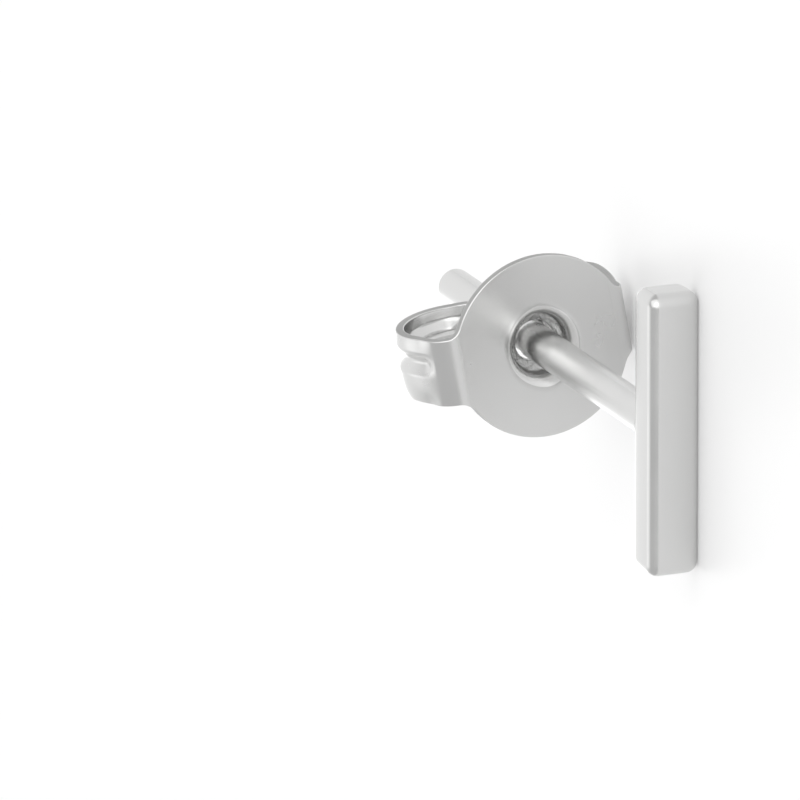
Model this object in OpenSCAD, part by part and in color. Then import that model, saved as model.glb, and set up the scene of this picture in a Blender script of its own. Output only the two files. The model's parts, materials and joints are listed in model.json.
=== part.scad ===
// Bar stud earring with its butterfly clutch on the post, lying on its side as it rests by itself.
// Millimetres. Floor at z = 0, the bar along x, the post running back along y and a little up.

/* [Bar] */
// Height of the bar when it is worn
bar_height = 6.2; // [5:0.1:9]
// Width of the bar's front face
bar_width = 1.17; // [1:0.01:1.6]
// Depth of the bar from front to back
bar_depth = 1.03; // [0.9:0.01:1.5]
// Radius that rounds the edges of the bar
bar_round = 0.27; // [0.1:0.01:0.4]

/* [Post] */
// Diameter of the post
post_diameter = 0.8; // [0.7:0.01:0.9]
// Length of the post from the bar's back to its tip
post_length = 11.7; // [10:0.1:13]
// Radius that rounds the rim of the tip
tip_round = 0.15; // [0.05:0.01:0.3]
// Radius of the solder fillet between the post and the bar
solder_fillet = 0.12; // [0.05:0.01:0.15]

/* [Clutch plate] */
// Distance from the bar's back to the front of the clutch
clutch_seat = 6.35; // [4:0.05:7]
// Thickness of the sheet that the clutch is bent from
sheet = 0.2; // [0.16:0.01:0.22]
// Diameter of the round plate
plate_diameter = 4.1; // [3.9:0.05:4.6]
// Diameter of the hole, which the post passes with play
hole_diameter = 0.94; // [0.92:0.01:1.1]
// Diameter at which the plate starts to roll back towards the hole
funnel_diameter = 1.9; // [1.86:0.02:2.2]
// Radius over which the plate rolls back
funnel_round = 0.3; // [0.24:0.01:0.31]
// Diameter inside which the funnel flattens into a collar round the hole
collar_diameter = 1.24; // [1.16:0.02:1.24]
// Turn of the wings about the post
clutch_turn = 10.5; // [0:0.5:15]

/* [Clutch wings] */
// Width of a wing where it leaves the plate
wing_width = 1.54; // [1.3:0.02:1.6]
// Width of a wing at its curled end
wing_end_width = 1.34; // [1.2:0.02:1.5]
// Radius of the fillet between the plate's rim and a wing's edge, before the sheet is bent
wing_fillet = 0.35; // [0.2:0.05:0.6]
// Depth of the groove pressed along each wing
groove_depth = 0.17; // [0.05:0.01:0.2]
// Width of the groove from crest to crest
groove_width = 0.62; // [0.4:0.02:0.7]
// Distance of the groove's middle above the wing's middle
groove_shift = 0.04; // [0:0.01:0.1]
// Distance that the wing's edges are pressed inwards
edge_drop = 0.07; // [0:0.01:0.1]
// Gap between the post and the curled end of each wing
grip_gap = 0.03; // [0.02:0.01:0.08]

/* [Hidden] */
silver = "#d5d2cc";
bright_silver = "#e0ddd7";

// Smoothness of everything round
round_fn = 96;

// A wing is bent along a chain of arcs, seen in the plane of reach (away from the post) and
// depth (behind the plate's front). Each row of a chain: radius on the outside of the bend,
// degrees that it turns. The chain starts along the plate at the fold's reach.
RADIUS = 0;
TURN = 1;
left_fold_reach = 1.86;
left_chain = [[0.72, 54], [2.34, 19], [1.19, 107]];
left_curl = [[1.55, 39], [0.65, 91]];
right_fold_reach = 1.86;
right_chain = [[0.24, 72], [5.2, 18], [1.1, 25], [0.61, 65]];
right_curl = [[1.37, 38], [0.75, 87]];

// Degrees of bend between two stations of a wing, and the longest stretch between them
bend_step = 7;
long_step = 0.32;
// Points across a wing
across = 12;
// Slopes of the funnel and of its collar, steps over the funnel's roll, and the collar's
// thickness along the post
funnel_slope = 80;
collar_slope = 30;
funnel_steps = 10;
collar_thick = 0.16;
// Reach at which a wing's root is buried in the plate, and how deep it lies under its face
root_reach = 1.3;
root_inset = 0.01;
// Depths over which the groove starts, and reaches over which it ends
groove_start = [0.25, 0.9];
groove_end = [0.7, 1.2];

post_r = post_diameter / 2;
plate_r = plate_diameter / 2;
hole_r = hole_diameter / 2;
funnel_r = funnel_diameter / 2;
collar_r = collar_diameter / 2;
rim_r = sheet / 2;
grip_reach = post_r + grip_gap;

// The flat strip before it is bent: the fillet's middle, and where it leaves the round rim
blank_r = plate_r - root_inset;
fillet_w = wing_width / 2 + wing_fillet;
fillet_x = sqrt(pow(blank_r + wing_fillet, 2) - pow(fillet_w, 2));
flare_x = fillet_x * blank_r / (blank_r + wing_fillet);

// How much wider than the wing, on each side, the flat strip is at a distance from the hole
function flare(x) =
    x < flare_x ? sqrt(pow(blank_r, 2) - pow(x, 2)) - wing_width / 2 :
    x < fillet_x ? wing_fillet - sqrt(pow(wing_fillet, 2) - pow(x - fillet_x, 2)) :
    0;

// Smooth step from 0 below edges[0] to 1 above edges[1]
function ease(edges, x) =
    let (t = min(1, max(0, (x - edges[0]) / (edges[1] - edges[0]))))
    t * t * (3 - 2 * t);

// Where an arc of a radius ends that starts at a point and turns between two headings
function arc_to(at, radius, from, to) =
    [at[0] + radius * (sin(to) - sin(from)), at[1] + radius * (cos(from) - cos(to))];

// Number of stations along one arc of a chain
function arc_steps(bend) =
    ceil(max(bend[TURN] / bend_step, bend[TURN] * PI / 180 * bend[RADIUS] / long_step));

// Stations [heading, point] along a chain of arcs, without its start
function walk(chain, at, heading, i = 0) =
    i == len(chain) ? [] :
    let (
        bend = chain[i],
        steps = arc_steps(bend),
        last = heading + bend[TURN]
    )
    concat(
        [for (k = [1 : steps])
            let (h = heading + bend[TURN] * k / steps)
            [h, arc_to(at, bend[RADIUS], heading, h)]],
        walk(chain, arc_to(at, bend[RADIUS], heading, last), last, i + 1)
    );

// Reach where the curl comes closest to the post, which it does at a heading of 270 degrees
function closest_reach(at, curl) =
    let (back = arc_to(at, curl[0][RADIUS], 180, 180 + curl[0][TURN]))
    arc_to(back, curl[1][RADIUS], 180 + curl[0][TURN], 270)[0];

// All stations of a wing. A straight run along its back, as long as it takes, brings the curl
// to the post.
function stations(fold_reach, chain, curl) =
    let (
        front = walk(chain, [fold_reach, root_inset], 0),
        turned = front[len(front) - 1][1],
        run = closest_reach(turned, curl) - grip_reach,
        back = [turned[0] - run, turned[1]]
    )
    concat(
        [[0, [root_reach, root_inset]], [0, [fold_reach, root_inset]]],
        front,
        [[180, back]],
        walk(curl, back, 180)
    );

// How far the sheet is pressed inwards at a height w across a wing of half-width half
function pressed(w, half, depth, reach) =
    let (
        share = ease(groove_start, depth) * ease(groove_end, reach),
        across_groove = min(1, abs(w - groove_shift) / (groove_width / 2)),
        groove = (1 + cos(180 * across_groove)) / 2,
        edge = pow(abs(w) / half, 4)
    )
    share * (groove_depth * groove + edge_drop * edge);

// One ring of points round the sheet at a station, the outer face first
function ring(station, half) =
    let (
        heading = station[0],
        at = station[1],
        inwards = [-sin(heading), cos(heading)],
        thick = sheet - 2 * root_inset
    )
    [for (face = [0, 1], j = [0 : across])
        let (
            w = (face == 0 ? 1 : -1) * half * (2 * j / across - 1),
            d = pressed(w, half, at[1], at[0]) + face * thick
        )
        [at[0] + d * inwards[0], at[1] + d * inwards[1], w]];

// Distance along the strip from its first station to each station
function along(stops, i = 1, sum = 0) =
    i == len(stops) ? [sum] :
    concat([sum], along(stops, i + 1, sum + norm(stops[i][1] - stops[i - 1][1])));

// All points of a wing, ring by ring. The first ring is buried in the plate.
function wing_points(stops) =
    let (runs = along(stops))
    [for (i = [0 : len(stops) - 1])
        let (
            taper = (wing_end_width - wing_width) * i / (len(stops) - 1),
            flared = i == 0 ? 0 : flare(root_reach + runs[i]),
            half = (wing_width + taper) / 2 + flared
        )
        each ring(stops[i], half)];

left_stations = stations(left_fold_reach, left_chain, left_curl);
right_stations = stations(right_fold_reach, right_chain, right_curl);

// Lean of the post over the floor: the floor touches the front edge of the bar and the point of
// the right-hand wing that stands out most.
function lean_over(x, y) =
    let (
        side = x - (bar_width / 2 - bar_round),
        back = y + bar_depth - bar_round
    )
    acos(bar_round / norm([side, back])) - atan2(back, side);
rest_lean = max([for (p = wing_points(right_stations))
    lean_over(p[0] * cos(clutch_turn) - p[2] * sin(clutch_turn), clutch_seat + p[1])]);

// Height of the earring's own origin above the floor, and the middle of its length
bar_side = bar_width / 2 - bar_round;
bar_front = bar_depth - bar_round;
rest_height = bar_side * cos(rest_lean) + bar_front * sin(rest_lean) + bar_round;
front_end = -bar_side * sin(rest_lean) - bar_front * cos(rest_lean) - bar_round;
tip_end = (post_r - tip_round) * sin(rest_lean) + (post_length - tip_round) * cos(rest_lean)
    + tip_round;

// Turns what is modelled as worn (x to the right, y backwards along the post, z up the bar, the
// origin in the middle of the bar's back) to lie on its side on the floor
module at_rest() {
    translate([0, -(front_end + tip_end) / 2, rest_height])
        rotate([rest_lean, 0, 0])
        rotate([0, 90, 0])
        children();
}

// A rectangle whose corners are rounded as the bar's edges are
module rounded_rectangle(size) {
    square([size[0], size[1] - 2 * bar_round], center = true);
    square([size[0] - 2 * bar_round, size[1]], center = true);
    for (x = [-1, 1], y = [-1, 1])
        translate([x * (size[0] / 2 - bar_round), y * (size[1] / 2 - bar_round)])
        circle(r = bar_round, $fn = round_fn);
}

// A block of three sizes with only the edges along z rounded
module rounded_prism(size) {
    linear_extrude(height = size[2], center = true)
        rounded_rectangle([size[0], size[1]]);
}

// The bar: where three such blocks meet, each one rounding the edges along one axis
module bar() {
    translate([0, -bar_depth / 2, 0])
        intersection() {
            rounded_prism([bar_width, bar_depth, bar_height]);
            rotate([0, 90, 0])
                rounded_prism([bar_height, bar_depth, bar_width]);
            rotate([90, 0, 0])
                rounded_prism([bar_width, bar_height, bar_depth]);
        }
}

// Half outline of the post, with its rounded tip and the solder fillet at its foot
module post_outline() {
    translate([0, -bar_depth / 2])
        square([post_r, post_length + bar_depth / 2 - tip_round]);
    square([post_r - tip_round, post_length]);
    translate([post_r - tip_round, post_length - tip_round])
        circle(r = tip_round, $fn = round_fn);
    difference() {
        square([post_r + solder_fillet, solder_fillet]);
        translate([post_r + solder_fillet, solder_fillet])
            circle(r = solder_fillet, $fn = round_fn);
    }
}

module post() {
    rotate([-90, 0, 0])
        rotate_extrude($fn = round_fn)
        intersection() {
            post_outline();
            translate([0, -bar_depth])
                square([2 * post_r, post_length + 2 * bar_depth]);
        }
}

// The bar and the post are soldered into one solid
module bar_and_post() {
    color(silver)
        at_rest() {
            bar();
            post();
        }
}

// Points along a roll about the funnel's middle line, flat at first and then ever steeper
function roll(radius) =
    [for (k = [0 : funnel_steps])
        let (slope = funnel_slope * k / funnel_steps)
        [funnel_r - radius * sin(slope), funnel_round - radius * cos(slope)]];

// Half outline of the plate: flat, with a rounded rim, and rolled back into a funnel that
// flattens into a collar round the hole
module plate_outline() {
    front = roll(funnel_round);
    back = roll(funnel_round - sheet);
    rolled = front[funnel_steps];
    behind = back[funnel_steps];
    collar_y = rolled[1] + (rolled[0] - collar_r) * tan(funnel_slope);
    hole_y = collar_y + (collar_r - hole_r) * tan(collar_slope);
    hole_back = hole_y + collar_thick;
    // Where the backs of the funnel and of the collar meet
    rise = behind[1] + behind[0] * tan(funnel_slope) - hole_back - hole_r * tan(collar_slope);
    corner_r = rise / (tan(funnel_slope) - tan(collar_slope));
    corner_y = hole_back - (corner_r - hole_r) * tan(collar_slope);
    translate([funnel_r, 0])
        square([plate_r - rim_r - funnel_r, sheet]);
    translate([plate_r - rim_r, rim_r])
        circle(r = rim_r, $fn = round_fn);
    polygon(concat(
        front,
        [[collar_r, collar_y], [hole_r, hole_y], [hole_r, hole_back], [corner_r, corner_y]],
        [for (k = [funnel_steps : -1 : 0]) back[k]]
    ));
}

// The round plate. Its rim gives way where the sheet goes on into a wing.
module plate() {
    difference() {
        rotate([-90, 0, 0])
            rotate_extrude($fn = round_fn)
            plate_outline();
        translate([right_fold_reach, -sheet, -plate_r])
            cube([plate_r, 3 * sheet, plate_diameter]);
        translate([-left_fold_reach - plate_r, -sheet, -plate_r])
            cube([plate_r, 3 * sheet, plate_diameter]);
    }
}

// A wing of the clutch, bent along its stations and standing out towards +x
module wing(stops) {
    n = 2 * (across + 1);
    last = len(stops) - 1;
    sides = [for (i = [0 : last - 1], j = [0 : n - 1])
        let (a = i * n + j, b = i * n + (j + 1) % n)
        each [[a, b, b + n], [a, b + n, a + n]]];
    ends = [for (i = [0, last], j = [0 : across - 1])
        let (
            a = i * n + j,
            b = i * n + n - 1 - j,
            quad = [[a, b, b - 1], [a, b - 1, a + 1]]
        )
        each (i == 0 ? quad : [for (t = quad) [t[0], t[2], t[1]]])];
    polyhedron(points = wing_points(stops), faces = concat(sides, ends), convexity = 6);
}

// The clutch: one strip of sheet, whose plate the post passes and whose two wings are bent back
// and in, until their curled ends hold the post between them
module clutch() {
    color(bright_silver)
        at_rest()
        translate([0, clutch_seat, 0])
        rotate([0, -clutch_turn, 0]) {
            plate();
            wing(right_stations);
            mirror([1, 0, 0])
                wing(left_stations);
        }
}

bar_and_post();
clutch();
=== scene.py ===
"""A silver bar stud earring with its butterfly clutch, lying on its side on a pale surface.

Shapes are worked out in the earring's own axes in millimetres: x to the wearer's right across the
bar, y backwards along the post, z up the bar, with the origin in the middle of the bar's back.
They are then put where the frame says, in metres.
"""

import json
import logging
import math
from dataclasses import dataclass, field, replace
from enum import Enum

import bpy
import numpy as np
from mathutils import Matrix


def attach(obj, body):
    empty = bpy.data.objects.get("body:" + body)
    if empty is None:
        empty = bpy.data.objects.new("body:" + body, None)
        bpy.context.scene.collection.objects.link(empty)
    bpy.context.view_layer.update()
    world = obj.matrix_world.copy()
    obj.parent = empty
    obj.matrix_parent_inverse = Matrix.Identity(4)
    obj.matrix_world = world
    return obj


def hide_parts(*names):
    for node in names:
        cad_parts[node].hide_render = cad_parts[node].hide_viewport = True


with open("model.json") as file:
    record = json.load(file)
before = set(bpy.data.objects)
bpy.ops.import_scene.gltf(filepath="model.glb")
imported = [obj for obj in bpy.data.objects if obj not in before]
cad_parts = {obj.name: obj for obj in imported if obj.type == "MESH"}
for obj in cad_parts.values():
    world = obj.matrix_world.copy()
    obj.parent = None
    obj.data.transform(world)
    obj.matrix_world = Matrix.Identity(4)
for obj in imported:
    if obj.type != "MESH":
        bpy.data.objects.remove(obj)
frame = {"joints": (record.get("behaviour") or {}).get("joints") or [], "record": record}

MM = 0.001
MIRROR = np.array([-1.0, 1.0, 1.0])
EVEN = (1.0, 1.0, 1.0)
WHITE = (1.0, 1.0, 1.0, 1.0)
# Points nearer than this are one point, and lengths that differ by less are the same, in mm.
SAME_MM = 1e-6
# Added to what is divided by, where that would be zero.
NEVER_ZERO = 1e-9
log = logging.getLogger("bar_earring")


class Body(Enum):
    """The bodies of the frame that the pieces ride on."""

    STUD = "stud"
    CLUTCH = "clutch"


class Node(Enum):
    """The solids of the frame that the pieces stand for."""

    STUD = "bar_and_post"
    CLUTCH = "clutch"


class Slot(Enum):
    """The record's material slots."""

    STUD = "stud_silver"
    CLUTCH = "clutch_silver"


class Finish(Enum):
    """The clutch's finishes by number: polished, torn, cut edges painted darker as painted shade,
    and the funnel's wall painted brighter as painted light.
    """

    POLISHED = 0
    TORN = 1
    CUT = 2
    RUBBED = 3


def ease(low: float, high: float, x: np.ndarray) -> np.ndarray:
    """Smooth step: 0 below low, 1 above high, and 3t^2 - 2t^3 between them.

    Args:
        low: Where the step starts.
        high: Where it ends.
        x: The values to step over.

    Returns:
        The step at each value.
    """
    t = np.clip((x - low) / (high - low), 0.0, 1.0)
    return t * t * (3.0 - 2.0 * t)


def with_edge_loops(low: float, high: float, count: int, loop: float = 0.004) -> np.ndarray:
    """Even steps with one more, very short one at both ends, which keeps smooth shading flat.

    Args:
        low: The first value.
        high: The last value.
        count: How many even values there are between the short steps.
        loop: The short step's share of the whole.

    Returns:
        The values.
    """
    inner = np.linspace(loop, 1.0 - loop, count)
    return low + (high - low) * np.concatenate([[0.0], inner, [1.0]])


def ring_faces(rows: int, columns: int) -> np.ndarray:
    """Quads between rings of points that are stored ring by ring.

    Args:
        rows: Number of rings.
        columns: Number of points in a ring, the last of which joins the first.

    Returns:
        An array of four point numbers for each quad.
    """
    i, j = np.meshgrid(np.arange(rows - 1), np.arange(columns), indexing="ij")
    near, far, k = i * columns, (i + 1) * columns, (j + 1) % columns
    return np.stack([near + j, near + k, far + k, far + j], axis=-1).reshape(-1, 4)


def pose_matrix(turn: np.ndarray, at: np.ndarray) -> Matrix:
    """The matrix that turns an object and puts it at a place.

    Args:
        turn: Three columns, the object's own axes in the row frame.
        at: The place in metres.

    Returns:
        The 4 by 4 matrix.
    """
    matrix = Matrix(turn.tolist()).to_4x4()
    matrix.translation = at
    return matrix


@dataclass
class Shell:
    """A closed surface: its points, its faces of three or four corners and their finishes.

    The finish is a number for each quad. Triangles have the first one, and so do the quads if it
    isn't given.
    """

    points: np.ndarray
    quads: np.ndarray
    triangles: np.ndarray
    finish: np.ndarray | None = None

    @staticmethod
    def tube(rings: np.ndarray) -> "Shell":
        """Closes a run of rings with a pole at the middle of the first and of the last ring.

        Args:
            rings: Points as (ring, place in the ring, coordinate).

        Returns:
            The closed shell.
        """
        rows, columns, _ = rings.shape
        poles = rings[[0, -1]].mean(axis=1)
        j = np.arange(columns)
        k = (j + 1) % columns
        last = (rows - 1) * columns
        first_pole = np.full(columns, rows * columns)
        triangles = np.concatenate([
            np.stack([first_pole, k, j], axis=-1),
            np.stack([first_pole + 1, last + j, last + k], axis=-1),
        ])
        points = np.concatenate([rings.reshape(-1, 3), poles])
        return Shell(points, ring_faces(rows, columns), triangles)

    @staticmethod
    def ring(rings: np.ndarray) -> "Shell":
        """Closes a run of rings on itself, the last ring joining the first.

        Args:
            rings: Points as (ring, place in the ring, coordinate).

        Returns:
            The closed shell.
        """
        rows, columns, _ = rings.shape
        quads = ring_faces(rows + 1, columns) % (rows * columns)
        return Shell(rings.reshape(-1, 3), quads, np.empty((0, 3), int))

    def moved(self, turn: np.ndarray, shift: np.ndarray) -> "Shell":
        """The shell turned by a matrix and then shifted.

        Args:
            turn: The matrix, which may also scale.
            shift: What is added to each point.

        Returns:
            The moved shell.
        """
        return Shell(self.points @ turn.T + shift, self.quads, self.triangles, self.finish)

    def turned_round(self) -> "Shell":
        """The shell with its faces pointing the other way.

        Returns:
            The shell, its points and the order of its faces unchanged.
        """
        return Shell(self.points, self.quads[:, ::-1], self.triangles[:, ::-1], self.finish)

    def mirrored(self) -> "Shell":
        """The shell mirrored in x, its faces turned round so that they still point outwards.

        Returns:
            The mirrored shell.
        """
        return replace(self, points=self.points * MIRROR).turned_round()

    def merged(self) -> "Shell":
        """The shell with points that lie on each other made one, for a shell of one finish.

        A quad with two corners in one place becomes a triangle, and a face left without area
        goes.

        Returns:
            The merged shell.
        """
        grid = np.round(self.points / SAME_MM).astype(np.int64)
        _, first, number = np.unique(grid, axis=0, return_index=True, return_inverse=True)
        number = number.ravel()
        quads, triangles = number[self.quads], number[self.triangles]
        doubled = quads == np.roll(quads, -1, axis=1)
        thirds = doubled.sum(axis=1) == 1
        whole = (triangles != np.roll(triangles, -1, axis=1)).all(axis=1)
        from_quads = quads[thirds][~doubled[thirds]].reshape(-1, 3)
        triangles = np.concatenate([triangles[whole], from_quads])
        return Shell(self.points[first], quads[~doubled.any(axis=1)], triangles)


@dataclass(frozen=True)
class Placement:
    """Where the earring lies in the row frame, read from the frame's own joint and mount."""

    post_axis: np.ndarray
    back_centre: np.ndarray

    @staticmethod
    def from_frame() -> "Placement":
        """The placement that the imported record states.

        Returns:
            The post's direction, and the middle of the bar's back in metres.
        """
        record = frame["record"]
        mounts = {m["name"]: m for m in record["mounts"]}
        axis = np.array(frame["joints"][0]["axis"], float)
        back = np.array(mounts["lobe_face"]["pos_m"], float) * (0.0, 1.0, 1.0)
        return Placement(axis / np.linalg.norm(axis), back)

    def turn(self) -> np.ndarray:
        """How the earring is turned.

        Returns:
            The matrix whose columns are the earring's x, y and z axes in the row frame.
        """
        _, along, rise = self.post_axis
        return np.array([[0.0, 0.0, 1.0], [rise, along, 0.0], [-along, rise, 0.0]])

    def place(self, shell: Shell) -> Shell:
        """Puts a shell in the row frame.

        Args:
            shell: The shell in earring millimetres.

        Returns:
            The shell in metres.
        """
        return shell.moved(self.turn() * MM, self.back_centre)

    def point(self, at: np.ndarray) -> np.ndarray:
        """Puts one point in the row frame.

        Args:
            at: The point in earring millimetres.

        Returns:
            The point in metres.
        """
        return self.turn() @ (at * MM) + self.back_centre


@dataclass(frozen=True)
class Silver:
    """Polished silver whose gloss is broken by fine marks of handling.

    Its roughness drifts a little over the surface in soft clouds. Hair-fine polishing lines and
    shallow waves of the sheet bend its reflections. Scales are in waves of noise per metre,
    heights in metres, and a detail is a number of octaves.
    """

    name: str
    colour: tuple[float, float, float]
    roughness: tuple[float, float]
    wave_height: float
    line_height: float
    line_stretch: tuple[float, float, float]
    line_scale: float = 4000.0
    line_detail: float = 4.0
    wave_scale: float = 450.0
    wave_detail: float = 1.0
    cloud_scale: float = 900.0
    cloud_detail: float = 3.0
    cloud_range: tuple[float, float] = (0.3, 0.7)

    def material(self) -> bpy.types.Material:
        """The finish as a material of nodes on object coordinates.

        Returns:
            The material.
        """
        material = bpy.data.materials.new(self.name)
        material.use_nodes = True
        tree = material.node_tree
        tree.nodes.clear()
        output = tree.nodes.new("ShaderNodeOutputMaterial")
        metal = tree.nodes.new("ShaderNodeBsdfPrincipled")
        metal.inputs["Base Color"].default_value = (*self.colour, 1.0)
        metal.inputs["Metallic"].default_value = 1.0
        tree.links.new(metal.outputs["BSDF"], output.inputs["Surface"])
        place = tree.nodes.new("ShaderNodeTexCoord").outputs["Object"]

        cloud = self._noise(tree, place, self.cloud_scale, self.cloud_detail, EVEN)
        gloss = tree.nodes.new("ShaderNodeMapRange")
        gloss.inputs["From Min"].default_value = self.cloud_range[0]
        gloss.inputs["From Max"].default_value = self.cloud_range[1]
        gloss.inputs["To Min"].default_value = self.roughness[0]
        gloss.inputs["To Max"].default_value = self.roughness[1]
        tree.links.new(cloud, gloss.inputs["Value"])
        tree.links.new(gloss.outputs["Result"], metal.inputs["Roughness"])

        waves = self._noise(tree, place, self.wave_scale, self.wave_detail, EVEN)
        lines = self._noise(tree, place, self.line_scale, self.line_detail, self.line_stretch)
        swell = self._bump(tree, waves, self.wave_height, None)
        scratched = self._bump(tree, lines, self.line_height, swell)
        tree.links.new(scratched, metal.inputs["Normal"])
        return material

    @staticmethod
    def _noise(
        tree: bpy.types.NodeTree,
        place: bpy.types.NodeSocket,
        scale: float,
        detail: float,
        stretch: tuple[float, float, float],
    ) -> bpy.types.NodeSocket:
        """Noise on object coordinates, stretched along the axes.

        Args:
            tree: The material's nodes.
            place: The coordinates' socket.
            scale: Waves of noise per metre.
            detail: Octaves of finer noise.
            stretch: Factor on each axis; a small one draws the noise out into lines.

        Returns:
            The noise's value socket.
        """
        mapping = tree.nodes.new("ShaderNodeMapping")
        mapping.inputs["Scale"].default_value = stretch
        noise = tree.nodes.new("ShaderNodeTexNoise")
        noise.inputs["Scale"].default_value = scale
        noise.inputs["Detail"].default_value = detail
        tree.links.new(place, mapping.inputs["Vector"])
        tree.links.new(mapping.outputs["Vector"], noise.inputs["Vector"])
        return noise.outputs["Fac"]

    @staticmethod
    def _bump(
        tree: bpy.types.NodeTree,
        height: bpy.types.NodeSocket,
        distance: float,
        before: bpy.types.NodeSocket | None,
    ) -> bpy.types.NodeSocket:
        """A bump of a height in metres, on top of another.

        Args:
            tree: The material's nodes.
            height: The socket that the height comes from.
            distance: Height in metres of a value of 1.
            before: The normal socket that it adds to, or None.

        Returns:
            The bump's normal socket.
        """
        bump = tree.nodes.new("ShaderNodeBump")
        bump.inputs["Strength"].default_value = 1.0
        bump.inputs["Distance"].default_value = distance
        tree.links.new(height, bump.inputs["Height"])
        if before is not None:
            tree.links.new(before, bump.inputs["Normal"])
        return bump.outputs["Normal"]


def make_object(
    name: str, shells: list[Shell], materials: list[bpy.types.Material]
) -> bpy.types.Object:
    """Makes one smooth object of closed shells that are already in the row frame.

    Args:
        name: The piece's name.
        shells: Its shells, in metres.
        materials: Its finishes, in the order of their numbers.

    Returns:
        The object, which sits at the origin with its place in its mesh.
    """
    starts = np.cumsum([0] + [len(s.points) for s in shells])
    points = np.concatenate([s.points for s in shells])
    quads = np.concatenate([s.quads + n for s, n in zip(shells, starts)])
    triangles = np.concatenate([s.triangles + n for s, n in zip(shells, starts)])
    corners = np.concatenate([quads.ravel(), triangles.ravel()])
    sizes = np.repeat([4, 3], [len(quads), len(triangles)])
    finish = np.concatenate([
        *(np.zeros(len(s.quads)) if s.finish is None else s.finish for s in shells),
        np.zeros(len(triangles)),
    ])
    mesh = bpy.data.meshes.new(name)
    mesh.vertices.add(len(points))
    mesh.vertices.foreach_set("co", points.astype(np.float32).ravel())
    mesh.loops.add(len(corners))
    mesh.loops.foreach_set("vertex_index", corners.astype(np.int32))
    mesh.polygons.add(len(sizes))
    mesh.polygons.foreach_set("loop_start", (np.cumsum(sizes) - sizes).astype(np.int32))
    mesh.polygons.foreach_set("loop_total", sizes.astype(np.int32))
    mesh.polygons.foreach_set("use_smooth", np.ones(len(sizes), bool))
    mesh.polygons.foreach_set("material_index", finish.astype(np.int32))
    for material in materials:
        mesh.materials.append(material)
    mesh.update(calc_edges=True)
    mesh.validate()
    made = bpy.data.objects.new(name, mesh)
    bpy.context.scene.collection.objects.link(made)
    log.info("%s: %d points, %d faces", name, len(points), len(sizes))
    return made


@dataclass
class Bar:
    """The bar: a slim block with every edge rounded and its long faces very slightly crowned."""

    width: float = 1.17
    depth: float = 1.03
    height: float = 6.2
    rounding: float = 0.27
    crown: float = math.radians(3.0)
    face_steps: int = 12
    edge_steps: int = 16
    side_rows: int = 40
    side_loop: float = 0.001
    cap_shares: tuple[float, ...] = (*np.linspace(0.1, 0.9, 8), 0.99)

    def outline(self) -> tuple[np.ndarray, np.ndarray]:
        """The core of the cross-section and the outward directions round it.

        Each side of the core is a flat arc that turns by twice the crown's angle, and each corner
        a point at which the direction turns the rest of the way to the next side.

        Returns:
            The core's points and the directions, as (place round the bar, x and y).
        """
        half = np.array([self.width / 2 - self.rounding, self.depth / 2 - self.rounding])
        points, normals = [], []
        for side in range(4):
            across, out = (half[1], half[0]) if side % 2 == 0 else (half[0], half[1])
            tilt = with_edge_loops(-1.0, 1.0, self.face_steps) * self.crown
            bulge = across / np.sin(self.crown) * (np.cos(tilt) - np.cos(self.crown))
            local = np.stack([out + bulge, across * np.sin(tilt) / np.sin(self.crown)], axis=-1)
            corner = np.linspace(self.crown, np.pi / 2 - self.crown, self.edge_steps)[1:-1]
            local = np.concatenate([local, np.repeat(local[-1:], len(corner), axis=0)])
            turn = side * np.pi / 2
            angle = np.concatenate([tilt, corner]) + turn
            spin = np.array([[np.cos(turn), -np.sin(turn)], [np.sin(turn), np.cos(turn)]])
            points.append(local @ spin.T)
            normals.append(np.stack([np.cos(angle), np.sin(angle)], axis=-1))
        return np.concatenate(points), np.concatenate(normals)

    def shell(self) -> Shell:
        """The bar's surface: rings up the bar, drawn in over quarter circles at both ends.

        A ring at a height is the core moved outwards by the rounding, or near an end by what is
        left of a quarter circle. The ends close over the core, which shrinks to a pole. Where the
        rings aren't moved outwards, the points of a corner lie on each other and are merged.

        Returns:
            The bar's closed shell, in earring millimetres.
        """
        core, normal = self.outline()
        straight = self.height / 2 - self.rounding
        bend = np.linspace(0.0, np.pi / 2, self.edge_steps)
        side = with_edge_loops(-straight, straight, self.side_rows, self.side_loop)[1:-1]
        end_out = self.rounding * np.sin(bend)
        end_up = straight + self.rounding * np.cos(bend)
        cap = np.array(self.cap_shares)
        cap_out, cap_up = 0 * cap, 0 * cap + self.height / 2
        out = np.concatenate([
            cap_out, end_out, np.full(len(side), self.rounding), end_out[::-1], cap_out])
        up = np.concatenate([-cap_up, -end_up, side, end_up[::-1], cap_up])
        share = np.concatenate([cap, np.ones(len(up) - 2 * len(cap)), cap[::-1]])
        flat = core[None] * share[:, None, None] + normal[None] * out[:, None, None]
        height = np.broadcast_to(up[:, None, None], (*flat.shape[:2], 1))
        rings = np.concatenate([flat, height], axis=-1)
        rings[..., 1] -= self.depth / 2
        return Shell.tube(rings).merged()


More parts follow.
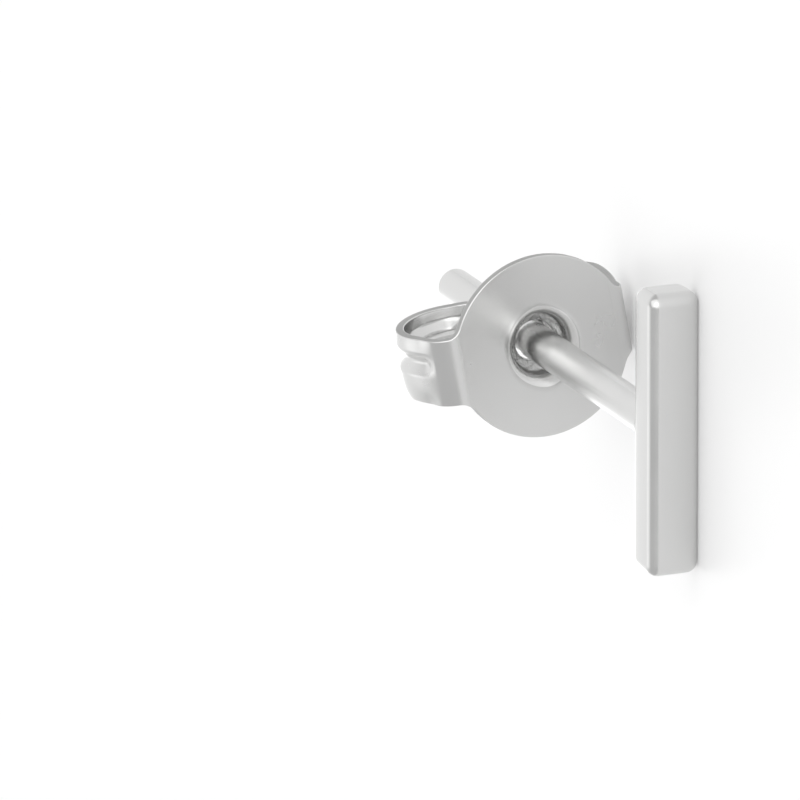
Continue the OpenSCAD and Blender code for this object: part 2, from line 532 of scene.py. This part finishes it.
@dataclass
class Post:
    """The post: a round wire with a rounded tip and a small fillet of solder at its foot."""

    radius: float = 0.4
    length: float = 11.7
    tip_rounding: float = 0.15
    fillet: float = 0.12
    buried: tuple[float, float] = (0.35, 0.02)
    around: int = 96
    quarter_steps: int = 14
    shaft_rows: int = 60
    shaft_loop: float = 0.0005
    face_rings: int = 6
    face_loop: float = 0.02

    def outline(self) -> np.ndarray:
        """The half outline from inside the bar to the middle of the tip.

        Returns:
            Points as (radius, y).
        """
        quarter = np.linspace(0.0, np.pi / 2, self.quarter_steps)
        foot = np.array([[self.radius + self.fillet, -depth] for depth in self.buried])
        solder = np.stack([
            self.radius + self.fillet * (1 - np.sin(quarter)),
            self.fillet * (1 - np.cos(quarter)),
        ], axis=-1)
        straight = self.length - self.tip_rounding
        shaft_y = with_edge_loops(self.fillet, straight, self.shaft_rows, self.shaft_loop)[1:-1]
        shaft = np.stack([np.full(len(shaft_y), self.radius), shaft_y], axis=-1)
        tip = np.stack([
            self.radius - self.tip_rounding * (1 - np.cos(quarter)),
            self.length - self.tip_rounding * (1 - np.sin(quarter)),
        ], axis=-1)
        flat_r = self.radius - self.tip_rounding
        face_r = with_edge_loops(flat_r, 0.0, self.face_rings, self.face_loop)[1:-1]
        face = np.stack([face_r, np.full(len(face_r), self.length)], axis=-1)
        return np.concatenate([foot, solder, shaft, tip, face])

    def shell(self) -> Shell:
        """The post's surface: its half outline turned about y.

        Returns:
            The post's closed shell, in earring millimetres.
        """
        r, y = self.outline().T
        angle = np.linspace(0.0, 2 * np.pi, self.around, endpoint=False)
        rings = np.stack([
            r[:, None] * np.cos(angle),
            np.broadcast_to(y[:, None], (len(y), self.around)),
            r[:, None] * -np.sin(angle),
        ], axis=-1)
        return Shell.tube(rings)


@dataclass(frozen=True)
class Blank:
    """The flat strip before it is bent: a round middle that runs into two arms over fillets."""

    radius: float = 2.05
    arm_width: float = 1.54
    fillet: float = 0.35

    def flare(self, x: np.ndarray) -> np.ndarray:
        """How much wider than the arm, on each side, the strip is at a distance from the hole.

        Args:
            x: Distances from the middle of the hole, along the strip.

        Returns:
            The extra width on one side.
        """
        half = self.arm_width / 2
        middle_w = half + self.fillet
        middle_x = math.sqrt((self.radius + self.fillet) ** 2 - middle_w ** 2)
        leave_x = middle_x * self.radius / (self.radius + self.fillet)
        round_part = np.sqrt(np.maximum(self.radius ** 2 - x ** 2, 0.0)) - half
        over = np.clip(x - middle_x, -self.fillet, 0.0)
        fillet_part = self.fillet - np.sqrt(self.fillet ** 2 - over ** 2)
        return np.where(x < leave_x, round_part, fillet_part)


@dataclass
class Wing:
    """A wing of the clutch: the strip of sheet followed along a chain of bends.

    The chain is seen in the plane of reach (away from the post) and depth (behind the plate's
    front). Each bend is its radius on the outside and the degrees that it turns. The wing's own
    surface begins at the root's reach, buried in the plate's sheet, and then stands proud of it.
    """

    start: float
    bends: list[tuple[float, float]]
    curl: list[tuple[float, float]]
    blank: Blank = field(default_factory=Blank)
    grip_reach: float = 0.43
    root: float = 1.72
    sheet: float = 0.2
    end_width: float = 1.34
    groove_depth: float = 0.17
    groove_width: float = 0.6
    groove_shift: float = 0.18
    edge_drop: float = 0.07
    groove_start: tuple[float, float] = (0.28, 0.62)
    groove_end: tuple[float, float] = (0.7, 1.2)
    step_degrees: float = 2.5
    step_length: float = 0.05
    fine_degrees: float = 0.25
    fine_length: float = 0.005
    run_in_steps: int = 6
    edge_round: float = 0.025
    edge_stretch: float = 2.5
    across: int = 48
    edge_steps: int = 6
    proud: float = 0.0006
    buried: float = 0.05
    rising: tuple[float, float, float] = (0.0, 0.002, 0.004)

    def stations(self) -> tuple[np.ndarray, np.ndarray]:
        """Follows the chain. Its straight run at 180 degrees brings the curl to the post.

        Returns:
            The outer face's points as (reach, depth), and the headings in radians.
        """
        points, headings = [], []
        if self.start > self.root:
            run_in = np.linspace(self.root, self.start, self.run_in_steps)[:-1]
            points.append(np.stack([run_in, 0 * run_in], axis=-1))
            headings.append(0 * run_in)
        at, heading = np.array([self.start, 0.0]), 0.0
        points.append(at[None])
        headings.append(np.zeros(1))
        for radius, degrees in self.bends:
            at, heading = self._bend(points, headings, at, heading, radius, degrees)
        probe, turned = at.copy(), heading
        for radius, degrees in [self.curl[0], (self.curl[1][0], 90.0 - self.curl[0][1])]:
            probe, turned = self._bend([], [], probe, turned, radius, degrees)
        run = probe[0] - self.grip_reach
        steps = max(2, int(run / self.step_length) + 1)
        back = at[0] - run * np.arange(1, steps + 1) / steps
        points.append(np.stack([back, np.full(steps, at[1])], axis=-1))
        headings.append(np.full(steps, heading))
        at = np.array([back[-1], at[1]])
        for radius, degrees in self.curl:
            at, heading = self._bend(points, headings, at, heading, radius, degrees)
        return np.concatenate(points), np.concatenate(headings)

    @staticmethod
    def distances(at: np.ndarray) -> np.ndarray:
        """How far the stations lie from the hole's middle, measured along the flat strip.

        Args:
            at: The stations' points.

        Returns:
            The distance of each.
        """
        steps = np.linalg.norm(np.diff(at, axis=0), axis=-1)
        return at[0, 0] + np.concatenate([[0.0], np.cumsum(steps)])

    def folded(self, flat: np.ndarray) -> np.ndarray:
        """Bends points of the flat strip that lie beyond the start of the chain.

        Args:
            flat: Points with their reach, their depth in the sheet and their place across.

        Returns:
            The bent points.
        """
        fine = replace(self, step_degrees=self.fine_degrees, step_length=self.fine_length)
        at, heading = fine.stations()
        x = self.distances(at)
        beyond = flat[..., 0] > max(self.start, x[0])
        reach = np.interp(flat[..., 0], x, at[:, 0])
        depth = np.interp(flat[..., 0], x, at[:, 1])
        turn = np.interp(flat[..., 0], x, heading)
        bent = np.stack([
            reach - flat[..., 1] * np.sin(turn),
            depth + flat[..., 1] * np.cos(turn),
            flat[..., 2],
        ], axis=-1)
        return np.where(beyond[..., None], bent, flat)

    def _bend(
        self,
        points: list[np.ndarray],
        headings: list[np.ndarray],
        at: np.ndarray,
        heading: float,
        radius: float,
        degrees: float,
    ) -> tuple[np.ndarray, float]:
        """Adds one bend's stations to the lists.

        Args:
            points: Where its points are added.
            headings: Where its headings are added.
            at: Where it starts.
            heading: The heading that it starts with, in radians.
            radius: Its radius on the outside.
            degrees: How far it turns.

        Returns:
            Where it ends, and with which heading.
        """
        turn = math.radians(degrees)
        steps = int(np.ceil(max(degrees / self.step_degrees, turn * radius / self.step_length)))
        h = heading + turn * np.arange(1, steps + 1) / steps
        reach = at[0] + radius * (np.sin(h) - np.sin(heading))
        depth = at[1] + radius * (np.cos(heading) - np.cos(h))
        points.append(np.stack([reach, depth], axis=-1))
        headings.append(h)
        return np.array([reach[-1], depth[-1]]), float(h[-1])

    def pressed(self, w: np.ndarray, half: np.ndarray, at: np.ndarray) -> np.ndarray:
        """How far the sheet is pressed inwards.

        A groove of one cosine wave runs along the wing, and the edges fall off with the fourth
        power of the distance from the middle. Both fade in behind the fold and out at the curl.

        Args:
            w: Places across the wing, as (station, place).
            half: Half the wing's width at each station.
            at: The stations' points.

        Returns:
            The distance inwards, as (station, place).
        """
        share = ease(*self.groove_start, at[:, 1]) * ease(*self.groove_end, at[:, 0])
        wave = np.clip(np.abs(w - self.groove_shift) / (self.groove_width / 2), 0.0, 1.0)
        groove = (1 + np.cos(np.pi * wave)) / 2
        edge = (np.abs(w) / half[:, None]) ** 4
        return share[:, None] * (self.groove_depth * groove + self.edge_drop * edge)

    def _rising_stations(self) -> tuple[np.ndarray, np.ndarray, np.ndarray]:
        """The stations from the root on, with a few close ones where the wing leaves the plate.

        Returns:
            Their points, their headings and their distances along the flat strip.
        """
        at, heading = self.stations()
        x = self.distances(at)
        keep = x >= self.root
        at, heading, x = at[keep], heading[keep], x[keep]
        close = np.concatenate([x[0] + np.array(self.rising), x[1:]])
        at = np.stack([np.interp(close, x, at[:, k]) for k in (0, 1)], axis=-1)
        return at, np.interp(close, x, heading), close

    def shell(self) -> Shell:
        """The wing's surface: a thin ring with cut edges carried along the stations.

        Its first rings rise steeply out of the plate's sheet, and then it stands a hair outside
        the sheet's faces, so that no edge shows there.

        Returns:
            The wing's closed shell, standing out towards +x, with the plate's front at y = 0.
        """
        at, heading, x = self._rising_stations()
        proud = np.full(len(x), self.proud)
        proud[0] = -self.buried
        flare = self.blank.flare(x)
        slope = np.gradient(flare, x)
        taper = (self.end_width - self.blank.arm_width) * (x - x[0]) / (x[-1] - x[0])
        half = (self.blank.arm_width + taper) / 2 + flare + proud
        stretch = np.minimum(np.sqrt(1 + slope ** 2), self.edge_stretch)
        corner_w = (self.edge_round * stretch)[:, None]
        w = with_edge_loops(-1.0, 1.0, self.across)[None] * (half[:, None] - corner_w)
        bend = np.linspace(np.pi / 2, 0.0, self.edge_steps + 1)[1:]
        corner_d = self.edge_round * (1 - np.sin(bend))
        edge_w = corner_w * np.cos(np.append(bend, bend[::-1]))
        edge_d = np.append(corner_d, self.sheet - corner_d[::-1])
        d = self.pressed(w, half, at)
        sunk = proud[:, None]
        ring_w = np.concatenate([
            w, w[:, -1:] + edge_w, w[:, ::-1], w[:, :1] - edge_w[:, ::-1],
        ], axis=1)
        ring_d = np.concatenate([
            d - sunk, d[:, -1:] + edge_d, d[:, ::-1] + self.sheet + sunk, d[:, :1] + edge_d[::-1],
        ], axis=1)
        inward = np.stack([-np.sin(heading), np.cos(heading)], axis=-1)
        plane = at[:, None, :] + ring_d[..., None] * inward[:, None, :]
        shell = Shell.tube(np.concatenate([plane, ring_w[..., None]], axis=-1)).turned_round()
        column = np.arange(ring_w.shape[1])
        # The wing's two cut edge faces are rougher, and painted darker than the polished silver:
        # painted shade along the wing's edges.
        right_shaded_cut = w.shape[1] - 1 + self.edge_steps
        cut_and_shaded = (column == right_shaded_cut) | (column == right_shaded_cut + ring_w.shape[1] // 2)
        kind = np.where(cut_and_shaded, Finish.CUT.value, Finish.POLISHED.value)
        shell.finish = np.tile(kind, len(x) - 1)
        return shell


@dataclass
class Plate:
    """The clutch's round plate, pressed back into a funnel with a collar round the hole.

    Seen from the front the funnel is pointed above and below: its outline is two arcs that meet.
    The funnel's wall is torn as far as the collar's radius and a margin, and beyond that painted
    brighter as far as the funnel's radius less a margin: painted light that lifts the shade in the
    funnel.
    """

    sheet: float = 0.2
    radius: float = 2.05
    hole_radius: float = 0.45
    collar_radius: float = 0.62
    collar_oval: float = 0.05
    collar_thick: float = 0.16
    collar_slope: float = math.radians(30.0)
    funnel_radius: float = 0.95
    funnel_point: float = 1.6
    pointed: float = 0.3
    point_blunting: float = 0.03
    funnel_round: float = 0.3
    funnel_slope: float = math.radians(80.0)
    edge_round: float = 0.02
    rim_round: float = 0.025
    back_chamfer: float = 0.03
    around: int = 256
    flat_steps: int = 40
    roll_steps: int = 22
    under_steps: int = 16
    corner_steps: int = 7
    wall_steps: int = 6
    blend_reach: float = 0.04
    blend_steps: int = 9
    collar_steps: int = 6
    collar_share: float = 0.96
    torn_margin: float = 0.01
    painted_light_margin: float = 0.12

    def front(self) -> np.ndarray:
        """The front's half outline, from the hole's edge out to the flat.

        It is a rounded lip, the collar's gentle slope, a blend into the funnel's steep wall, and
        the roll over which the wall comes up to the flat.

        Returns:
            Points as (radius, y).
        """
        slope = np.linspace(self.funnel_slope, 0.0, self.roll_steps)
        rolled = np.stack([
            self.funnel_radius - self.funnel_round * np.sin(slope),
            self.funnel_round * (1 - np.cos(slope)),
        ], axis=-1)
        fall = rolled[0, 0] - self.collar_radius
        corner = np.array([self.collar_radius, rolled[0, 1] + fall * np.tan(self.funnel_slope)])
        down = np.array([-np.cos(self.funnel_slope), np.sin(self.funnel_slope)])
        along = np.array([-np.cos(self.collar_slope), np.sin(self.collar_slope)])
        inward = np.array([np.sin(self.collar_slope), np.cos(self.collar_slope)])
        share = np.linspace(0.0, 1.0, self.blend_steps)[:, None]
        start, end = corner - self.blend_reach * down, corner + self.blend_reach * along
        blend = (1 - share) ** 2 * end + 2 * share * (1 - share) * corner + share ** 2 * start
        width = (self.collar_radius - self.hole_radius) / np.cos(self.collar_slope)
        edge = corner + along * (width - self.edge_round)
        share = np.linspace(0.0, self.collar_share, self.collar_steps)[:, None]
        collar = edge + share * (end - edge)
        turn = np.linspace(np.pi / 2, 0.0, self.corner_steps)[:-1, None]
        lip = edge + self.edge_round * (np.cos(turn) * along + (1 - np.sin(turn)) * inward)
        return np.concatenate([lip[::-1][:-1], collar, blend[1:], rolled])

    def outline(self) -> np.ndarray:
        """The whole half outline: the front, the square-cut rim and the back up to the hole.

        Returns:
            Points as (radius, y).
        """
        front = self.front()
        corner = np.linspace(-np.pi / 2, 0.0, self.corner_steps)
        rim_out = self.radius - self.rim_round + self.rim_round * np.cos(corner)
        rim_back = self.rim_round + self.rim_round * np.sin(corner)
        rim = np.stack([
            np.append(rim_out, rim_out[::-1]),
            np.append(rim_back, self.sheet - rim_back[::-1]),
        ], axis=-1)
        flat_end = self.radius - self.rim_round
        flat_r = with_edge_loops(self.funnel_radius, flat_end, self.flat_steps)[1:-1]
        flat = np.stack([flat_r, 0 * flat_r], axis=-1)
        slope = np.linspace(0.0, self.funnel_slope, self.under_steps)
        under_r = self.funnel_round - self.sheet
        under = np.stack([
            self.funnel_radius - under_r * np.sin(slope),
            self.funnel_round - under_r * np.cos(slope),
        ], axis=-1)
        deep = front[0, 1] + self.collar_thick
        tail = np.array([
            [self.hole_radius + self.back_chamfer, deep],
            [self.hole_radius, deep - self.back_chamfer],
        ])
        steep, gentle = np.tan(self.funnel_slope), np.tan(self.collar_slope)
        rise = under[-1, 1] + under[-1, 0] * steep - deep - tail[0, 0] * gentle
        meet_r = rise / (steep - gentle)
        meet = np.array([meet_r, deep - (meet_r - tail[0, 0]) * gentle])
        share = np.linspace(0.0, 1.0, self.wall_steps + 1)[1:, None]
        wall = under[-1] + share * (meet - under[-1])
        back = meet + share * (tail[0] - meet)
        flat_back = flat[::-1] + (0.0, self.sheet)
        return np.concatenate([front, flat, rim, flat_back, under, wall, back, tail[1:]])

    def shell(self, left: Wing, right: Wing) -> Shell:
        """The plate's surface: its half outline turned about y, with its sides bent.

        The funnel's start is stretched to its pointed outline and the collar's to an oval, and
        what lies beyond the start of a wing's chain of bends is bent with the wing. The pointed
        outline is the two parabolas x = R (1 - z^2 / P^2) and x = -R (1 - z^2 / P^2), with the
        funnel's radius R and the point's height P, solved for the distance from the middle.

        Args:
            left: The left wing.
            right: The right wing.

        Returns:
            The plate's closed shell, with its front at y = 0.
        """
        angle = np.linspace(0.0, 2 * np.pi, self.around, endpoint=False)
        side, rise = np.sqrt(np.cos(angle) ** 2 + self.point_blunting), np.sin(angle) ** 2
        bend = self.funnel_radius * rise / self.funnel_point ** 2 + NEVER_ZERO
        lens = (np.sqrt(side ** 2 + 4 * bend * self.funnel_radius) - side) / (2 * bend)
        start = self.funnel_radius + self.pointed * (lens - self.funnel_radius)
        outline = self.outline()
        r, y = outline[:, :1], outline[:, 1:]
        collar = self.collar_radius + self.collar_oval * rise
        stops = (self.hole_radius, self.collar_radius, self.funnel_radius, self.radius)
        edges = (self.hole_radius, collar, start, self.radius)
        radius = r + 0.0 * angle
        for k in range(len(stops) - 1):
            share = (r - stops[k]) / (stops[k + 1] - stops[k])
            between = edges[k] + share * (edges[k + 1] - edges[k])
            radius = np.where((share > 0) & (share <= 1), between, radius)
        rings = np.stack([radius * np.cos(angle), y + 0 * radius, radius * np.sin(angle)], axis=-1)
        shell = Shell.ring(left.folded(right.folded(rings) * MIRROR) * MIRROR).turned_round()
        near = r[:, 0]
        torn = near < self.collar_radius + self.torn_margin
        # The funnel's wall out to here is painted brighter than the polished silver: painted light
        # that lifts the shade in the funnel.
        painted_light = near < self.funnel_radius - self.painted_light_margin
        # The square-cut rim is rougher too, and painted darker: painted shade round the plate's
        # edge.
        cut_and_shaded = np.minimum(near, np.roll(near, -1)) > self.radius - SAME_MM
        kind = np.select(
            [torn, painted_light, cut_and_shaded], [Finish.TORN.value, Finish.RUBBED.value, Finish.CUT.value],
            default=Finish.POLISHED.value)
        shell.finish = np.repeat(kind, self.around)
        return shell


@dataclass
class Clutch:
    """The butterfly clutch: the plate and its two wings, turned a little about the post."""

    seat: float = 6.35
    turn_degrees: float = 10.5
    plate: Plate = field(default_factory=Plate)
    left: Wing = field(default_factory=lambda: Wing(
        start=1.86, bends=[(0.72, 54.0), (2.34, 19.0), (1.19, 107.0)],
        curl=[(1.55, 39.0), (0.65, 91.0)]))
    right: Wing = field(default_factory=lambda: Wing(
        start=1.325, bends=[(2.6, 12.0), (0.3, 60.0), (5.2, 18.0), (1.1, 25.0), (0.61, 65.0)],
        curl=[(1.37, 38.0), (0.75, 87.0)]))

    def shells(self) -> list[Shell]:
        """The clutch's surfaces.

        Returns:
            The closed shells of the plate and both wings, in earring millimetres.
        """
        turn = math.radians(self.turn_degrees)
        spin = np.array([
            [math.cos(turn), 0.0, -math.sin(turn)],
            [0.0, 1.0, 0.0],
            [math.sin(turn), 0.0, math.cos(turn)],
        ])
        plate = self.plate.shell(self.left, self.right)
        parts = [plate, self.right.shell(), self.left.shell().mirrored()]
        return [s.moved(spin, np.array([0.0, self.seat, 0.0])) for s in parts]


@dataclass(frozen=True)
class Lobe:
    """A soft bright part of the room, seen in a direction of the row frame.

    It fades in between a low and a high cosine of the angle from that direction.
    """

    toward: tuple[float, float, float]
    low: float
    high: float
    radiance: float


@dataclass(frozen=True)
class SoftBox:
    """A rectangular light: its direction and distance in metres, its size and its power."""

    name: str
    toward: tuple[float, float, float]
    distance: float
    size: tuple[float, float]
    power: float


@dataclass
class Studio:
    """The pale floor, the soft lights and the camera.

    The camera's angle and lens reproduce the photograph's view of the earring: azimuth and
    elevation are seen in the earring's own axes, and the aim is where the middle of the bar's
    back lies in the picture.
    """

    placement: Placement
    azimuth: float = 21.23
    elevation: float = 16.44
    roll: float = -0.31
    distance_mm: float = 204.0
    pixels_per_mm: float = 47.34
    picture: float = 800.0
    aim_pixel: tuple[float, float] = (657.1, 423.8)
    sensor_mm: float = 36.0
    clip: tuple[float, float] = (0.01, 10.0)
    floor_size: float = 0.6
    floor_tone: float = 0.78
    floor_glow: float = 0.17
    floor_roughness: float = 0.45
    base: float = 0.6
    lobes: tuple[Lobe, ...] = (
        Lobe((0.0, 0.8, 0.6), 0.45, 0.9, 0.44),
        Lobe((-0.3, 0.95, 0.02), 0.89, 0.98, 0.8),
        Lobe((-0.28, 0.1, 0.96), 0.92, 0.985, 0.4),
        Lobe((0.3, -0.93, 0.25), 0.84, 0.97, 0.8),
    )
    boxes: tuple[SoftBox, ...] = (
        SoftBox("key", (0.55, -0.62, 0.55), 0.25, (0.3, 0.3), 0.2),
    )
    box_aim: tuple[float, float, float] = (0.0, 0.0, 0.003)

    def axes(self) -> tuple[np.ndarray, np.ndarray, np.ndarray]:
        """How the camera is turned.

        Returns:
            The camera's right, up and backward directions in the earring's axes.
        """
        a, e, t = (math.radians(v) for v in (self.azimuth, self.elevation, self.roll))
        back = np.array([-math.sin(a) * math.cos(e), -math.cos(a) * math.cos(e), math.sin(e)])
        right = np.array([math.cos(a), -math.sin(a), 0.0])
        up = np.array([math.sin(a) * math.sin(e), math.cos(a) * math.sin(e), math.cos(e)])
        rolled_right = math.cos(t) * right + math.sin(t) * up
        rolled_up = math.cos(t) * up - math.sin(t) * right
        return rolled_right, rolled_up, back

    def camera(self) -> None:
        """Makes the camera and makes it the scene's."""
        right, up, back = self.axes()
        middle = self.picture / 2
        beside = (self.aim_pixel[0] - middle) / self.pixels_per_mm
        below = (self.aim_pixel[1] - middle) / self.pixels_per_mm
        centre = self.distance_mm * back - beside * right + below * up
        data = bpy.data.cameras.new("camera")
        data.sensor_width = self.sensor_mm
        data.lens = self.pixels_per_mm * self.distance_mm * self.sensor_mm / self.picture
        data.clip_start, data.clip_end = self.clip
        camera = bpy.data.objects.new("camera", data)
        turn = self.placement.turn() @ np.stack([right, up, back], axis=-1)
        camera.matrix_world = pose_matrix(turn, self.placement.point(centre))
        bpy.context.scene.collection.objects.link(camera)
        bpy.context.scene.camera = camera

    def floor(self) -> None:
        """Makes the floor: one square of semi-gloss white acrylic, softly lit from below."""
        h = self.floor_size / 2
        corners = [(-h, -h, 0.0), (h, -h, 0.0), (h, h, 0.0), (-h, h, 0.0)]
        mesh = bpy.data.meshes.new("floor")
        mesh.from_pydata(corners, [], [(0, 1, 2, 3)])
        material = bpy.data.materials.new("white_acrylic")
        material.use_nodes = True
        acrylic = material.node_tree.nodes["Principled BSDF"]
        acrylic.inputs["Base Color"].default_value = (*[self.floor_tone] * 3, 1.0)
        acrylic.inputs["Emission Color"].default_value = WHITE
        acrylic.inputs["Emission Strength"].default_value = self.floor_glow
        acrylic.inputs["Roughness"].default_value = self.floor_roughness
        mesh.materials.append(material)
        floor = bpy.data.objects.new("floor", mesh)
        bpy.context.scene.collection.objects.link(floor)

    def soft_box(self, box: SoftBox) -> None:
        """Hangs an area light that looks at the middle of the earring.

        Args:
            box: The light.
        """
        data = bpy.data.lights.new(box.name, "AREA")
        data.shape = "RECTANGLE"
        data.size, data.size_y = box.size
        data.energy = box.power
        light = bpy.data.objects.new(box.name, data)
        back = np.array(box.toward, float) / np.linalg.norm(box.toward)
        right = np.cross((0.0, 0.0, 1.0), back)
        right /= np.linalg.norm(right)
        turn = np.stack([right, np.cross(back, right), back], axis=-1)
        light.matrix_world = pose_matrix(turn, back * box.distance + np.array(self.box_aim))
        bpy.context.scene.collection.objects.link(light)

    def sky(self) -> None:
        """Fills the room with pale light, brighter overhead, behind the earring and before it.

        The radiance is a base and a share of each lobe. A lobe's share is a smooth step over the
        cosine between the direction looked in and the lobe's own direction.
        """
        world = bpy.data.worlds.new("room")
        world.use_nodes = True
        nodes, links = world.node_tree.nodes, world.node_tree.links
        place = nodes.new("ShaderNodeTexCoord")
        total = None
        for lobe in self.lobes:
            facing = nodes.new("ShaderNodeVectorMath")
            facing.operation = "DOT_PRODUCT"
            toward = np.array(lobe.toward, float) / np.linalg.norm(lobe.toward)
            facing.inputs[1].default_value = toward.tolist()
            links.new(place.outputs["Generated"], facing.inputs[0])
            base = 0.0 if total else self.base
            step = nodes.new("ShaderNodeMapRange")
            step.interpolation_type = "SMOOTHSTEP"
            step.inputs["From Min"].default_value = lobe.low
            step.inputs["From Max"].default_value = lobe.high
            step.inputs["To Min"].default_value = base
            step.inputs["To Max"].default_value = base + lobe.radiance
            links.new(facing.outputs["Value"], step.inputs["Value"])
            if total is None:
                total = step.outputs["Result"]
                continue
            add = nodes.new("ShaderNodeMath")
            add.operation = "ADD"
            links.new(total, add.inputs[0])
            links.new(step.outputs["Result"], add.inputs[1])
            total = add.outputs["Value"]
        nodes["Background"].inputs["Color"].default_value = WHITE
        links.new(total, nodes["Background"].inputs["Strength"])
        bpy.context.scene.world = world

    def build(self) -> None:
        """Builds the whole studio."""
        self.camera()
        self.floor()
        self.sky()
        for light in self.boxes:
            self.soft_box(light)
        view = bpy.context.scene.view_settings
        view.view_transform = "Standard"
        view.look = "None"


STUD_SILVER = Silver(
    "stud_silver", colour=(0.7, 0.7, 0.695), roughness=(0.2, 0.27),
    wave_height=6e-6, line_height=1.5e-6, line_stretch=(1.0, 0.05, 1.0))
CLUTCH_SILVER = Silver(
    "clutch_silver", colour=(0.7, 0.7, 0.695), roughness=(0.2, 0.28),
    wave_height=1.2e-5, line_height=2e-6, line_stretch=(1.0, 1.0, 0.1))
TORN_SILVER = Silver(
    "torn_silver", colour=(0.68, 0.68, 0.675), roughness=(0.15, 0.4),
    wave_height=2e-5, line_height=4e-5, line_stretch=EVEN, line_scale=12000.0)
# Painted light: the funnel's wall is coloured much brighter than the polished silver, to lift the
# shade that falls in the funnel.
FUNNEL_PAINTED_LIGHT_SILVER = replace(CLUTCH_SILVER, name="funnel_painted_light_silver", colour=(0.94, 0.94, 0.935))
# Cut sheet edges: rougher, as cut silver is, and painted much darker than the polished silver,
# which is painted shade along the edges.
CUT_AND_SHADED_SILVER = Silver(
    "cut_and_shaded_silver", colour=(0.42, 0.42, 0.415), roughness=(0.38, 0.5),
    wave_height=6e-6, line_height=4e-6, line_stretch=EVEN)
CLUTCH_FINISHES = {
    Finish.POLISHED: CLUTCH_SILVER,
    Finish.TORN: TORN_SILVER,
    Finish.CUT: CUT_AND_SHADED_SILVER,
    Finish.RUBBED: FUNNEL_PAINTED_LIGHT_SILVER,
}


def main() -> None:
    """Builds the earring on its frame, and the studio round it."""
    logging.basicConfig(level=logging.INFO, format="%(message)s")
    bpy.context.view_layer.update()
    placement = Placement.from_frame()
    stud = [STUD_SILVER.material()]
    clutch = [CLUTCH_FINISHES[finish].material() for finish in Finish]
    pieces = [
        ("bar", [Bar().shell()], stud, Body.STUD, Node.STUD, Slot.STUD),
        ("post", [Post().shell()], stud, Body.STUD, Node.STUD, Slot.STUD),
        ("butterfly_clutch", Clutch().shells(), clutch, Body.CLUTCH, Node.CLUTCH, Slot.CLUTCH),
    ]
    for name, shells, materials, body, node, slot in pieces:
        piece = make_object(name, [placement.place(s) for s in shells], materials)
        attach(piece, body.value)
        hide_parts(node.value)
    Studio(placement).build()


if __name__ == "__main__":
    main()
